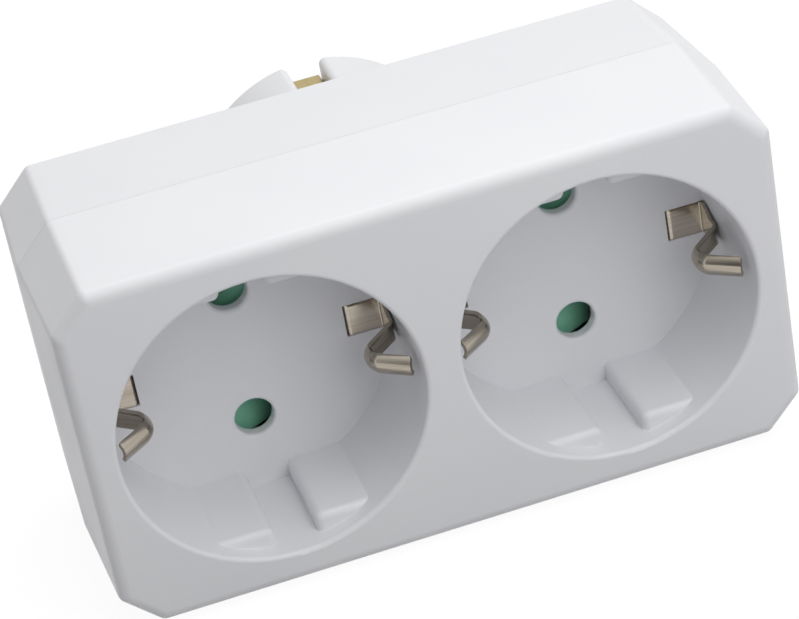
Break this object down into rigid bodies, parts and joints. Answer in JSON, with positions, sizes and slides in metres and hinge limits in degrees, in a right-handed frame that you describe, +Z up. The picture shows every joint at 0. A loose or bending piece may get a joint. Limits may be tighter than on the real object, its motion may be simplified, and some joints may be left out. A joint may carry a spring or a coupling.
{
  "type": "multi socket adapter",
  "caption": "White box-shaped mains adapter: round side-earth sockets side by side, with turning safety shutters behind the pin holes, and a side-earth plug on the back.",
  "frame": {"origin": "under the middle of the whole part, at the level of the housing's lowest line, the seam", "axes": "+X along the housing to the right seen from the front, -Y out of the sockets, +Z up"},
  "size_m": [0.094, 0.077, 0.05],
  "materials": {
    "cover_white": "satin moulded plastic, white",
    "shutter_green": "smooth moulded plastic, green",
    "cap_plastic": "plain moulded plastic, off-white",
    "clip_nickel": "nickel-plated strip with drawn marks",
    "pin_nickel": "nickel-plated turned brass",
    "brass": "bare rolled brass",
    "steel": "zinc-plated steel"
  },
  "bodies": {
    "housing": {"front_cover": "cover_white", "rear_cover": "cover_white", "shutter_spring_left": "steel", "shutter_spring_right": "steel", "shutter_cap_left": "cap_plastic", "shutter_cap_right": "cap_plastic", "earth_clip_left_socket_left": "clip_nickel", "earth_clip_left_socket_right": "clip_nickel", "earth_clip_right_socket_left": "clip_nickel", "earth_clip_right_socket_right": "clip_nickel", "live_bar": "brass", "neutral_bar": "brass", "plug_pin_live": "pin_nickel", "plug_pin_neutral": "pin_nickel", "earth_bar": "brass", "plug_earth_bracket": "brass", "earth_rivets": "brass", "cap_screws": "steel", "cover_screws": "steel"},
    "shutter_left": {"shutter_left": "shutter_green"},
    "shutter_right": {"shutter_right": "shutter_green"}
  },
  "joints": [
    {"name": "shutter_left_turn", "type": "hinge", "parent": "housing", "child": "shutter_left", "pos_m": [-0.0223, -0.0193, 0.025], "axis": [0, 1, 0], "range_deg": [0, 37], "stiffness_Nm_per_rad": 0.01, "springref_deg": -28.65, "deforming": ["shutter_spring_left"]},
    {"name": "shutter_right_turn", "type": "hinge", "parent": "housing", "child": "shutter_right", "pos_m": [0.0223, -0.0193, 0.025], "axis": [0, 1, 0], "range_deg": [0, 37], "stiffness_Nm_per_rad": 0.01, "springref_deg": -28.65, "deforming": ["shutter_spring_right"]}
  ]
}
